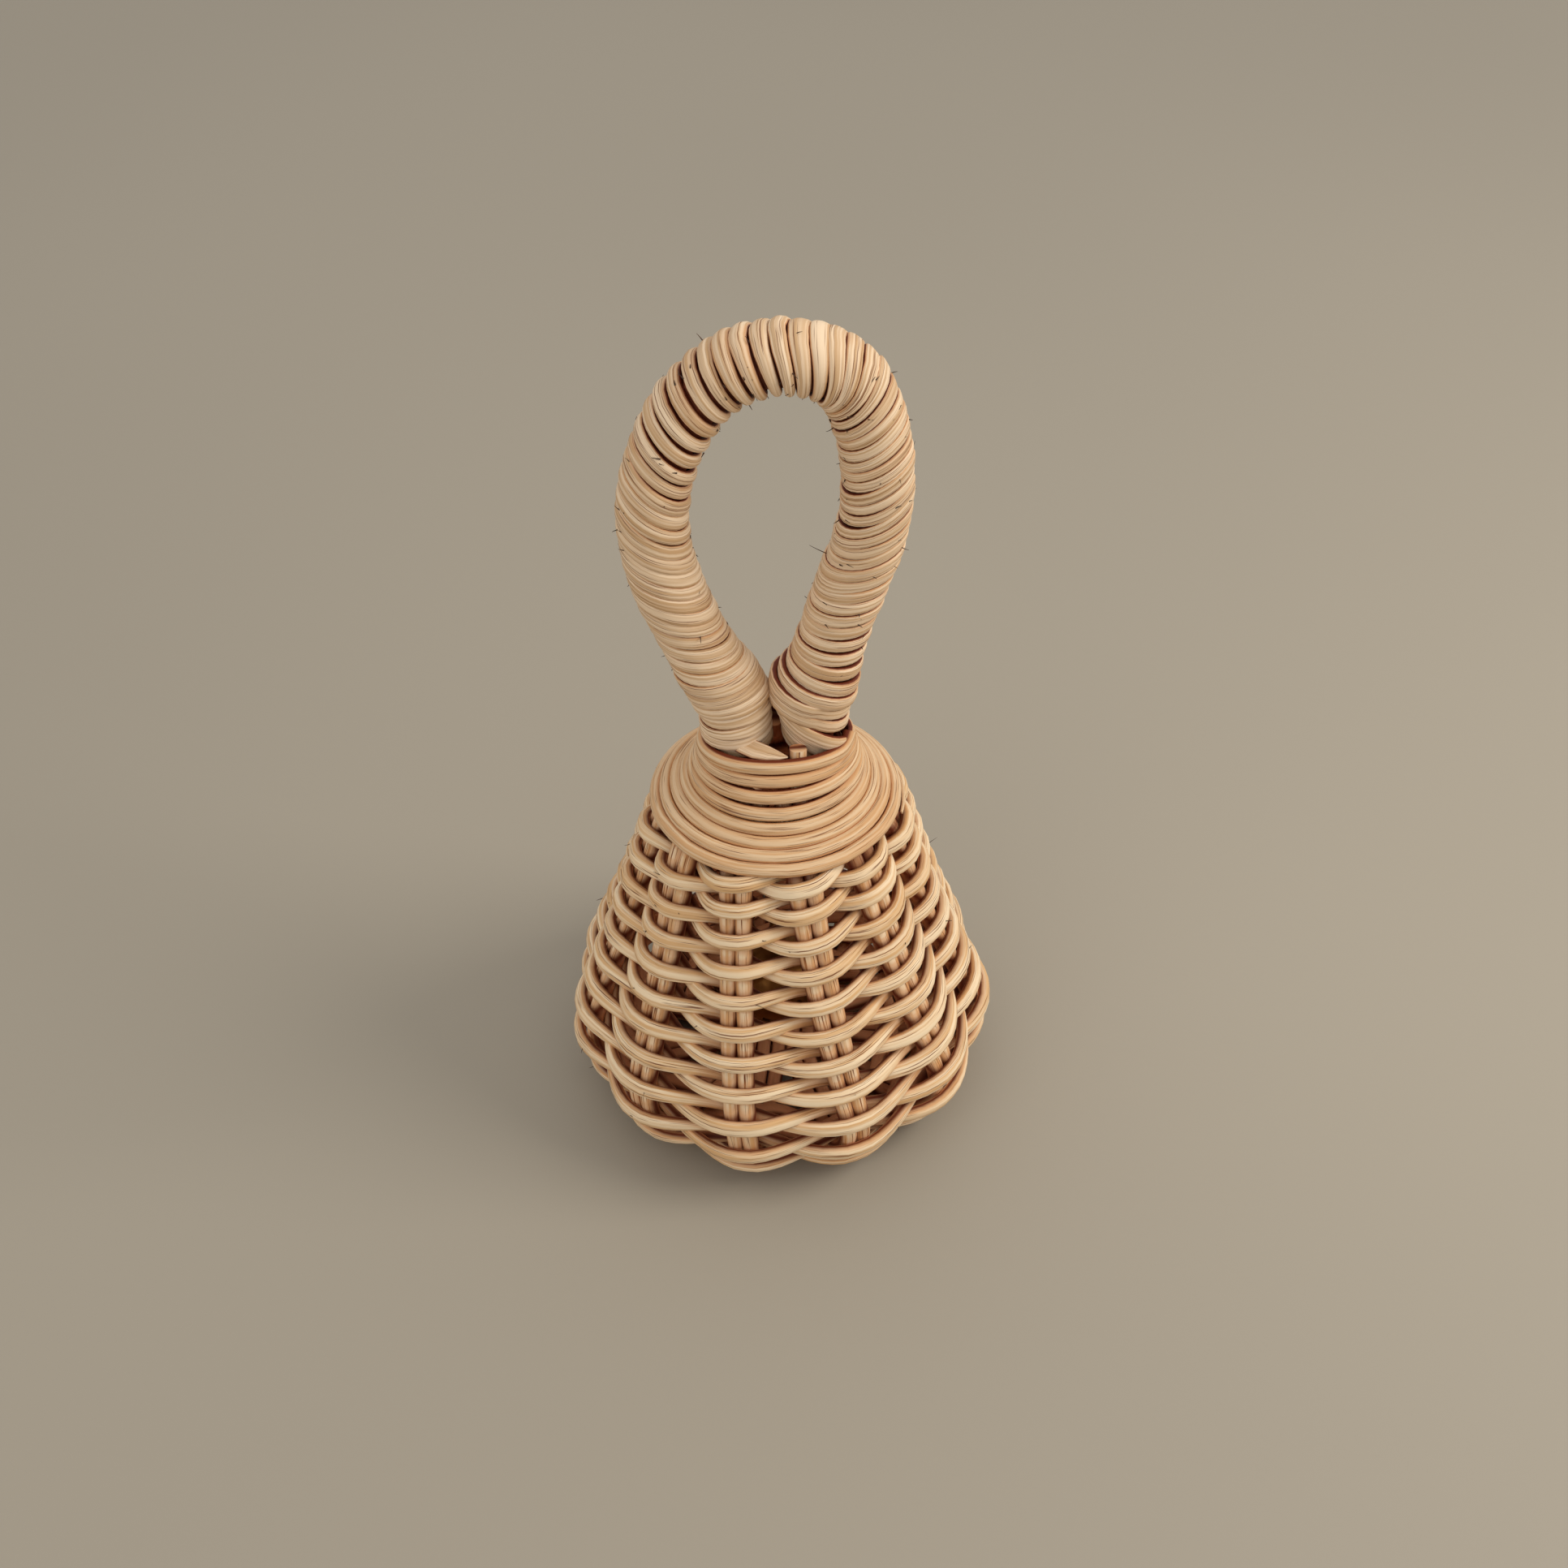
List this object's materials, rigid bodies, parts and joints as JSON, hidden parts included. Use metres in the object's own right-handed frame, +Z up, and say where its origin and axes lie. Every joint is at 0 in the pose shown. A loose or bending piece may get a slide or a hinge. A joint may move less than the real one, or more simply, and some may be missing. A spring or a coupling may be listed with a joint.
{
  "type": "wicker baby rattle",
  "caption": "Pear-shaped woven rattan rattle with a loose jingle bell in its cage, a coiled neck and a wrapped loop handle for a baby's hand.",
  "frame": {"origin": "middle of the rattle's bounding box at its underside, on the surface it stands on", "axes": "+Z up along the rattle from base to loop; the finger loop lies in the XZ plane and opens towards -Y and +Y; the pictured side faces -Y"},
  "size_m": [0.0748, 0.0756, 0.1508],
  "materials": {
    "reed": "bare rattan reed, satin",
    "strip": "bare split rattan, satin",
    "core": "bare rattan pole, dull",
    "bell": "dull pressed brass"
  },
  "bodies": {
    "basket": {"stake_reed_01": "reed", "stake_reed_02": "reed", "stake_reed_03": "reed", "stake_reed_04": "reed", "stake_reed_05": "reed", "stake_reed_06": "reed", "stake_reed_07": "reed", "stake_reed_08": "reed", "stake_reed_09": "reed", "stake_reed_10": "reed", "stake_reed_11": "reed", "weaver_a_1": "reed", "weaver_a_2": "reed", "weaver_a_3": "reed", "weaver_a_4": "reed", "weaver_b_1": "reed", "weaver_b_2": "reed", "weaver_b_3": "reed", "weaver_b_4": "reed", "collar_coil": "reed", "handle_core": "core", "handle_wrap": "strip"},
    "bell": {"bell_crown": "bell", "bell_skirt": "bell"},
    "pellet": {"bell_pellet": "bell"}
  },
  "joints": [
    {"name": "bell_hop", "type": "slide", "parent": "basket", "child": "bell", "axis": [0, 0, 1], "range_m": [0, 0.036]},
    {"name": "pellet_hop", "type": "slide", "parent": "bell", "child": "pellet", "axis": [0, 0, 1], "range_m": [0, 0.0095]}
  ]
}
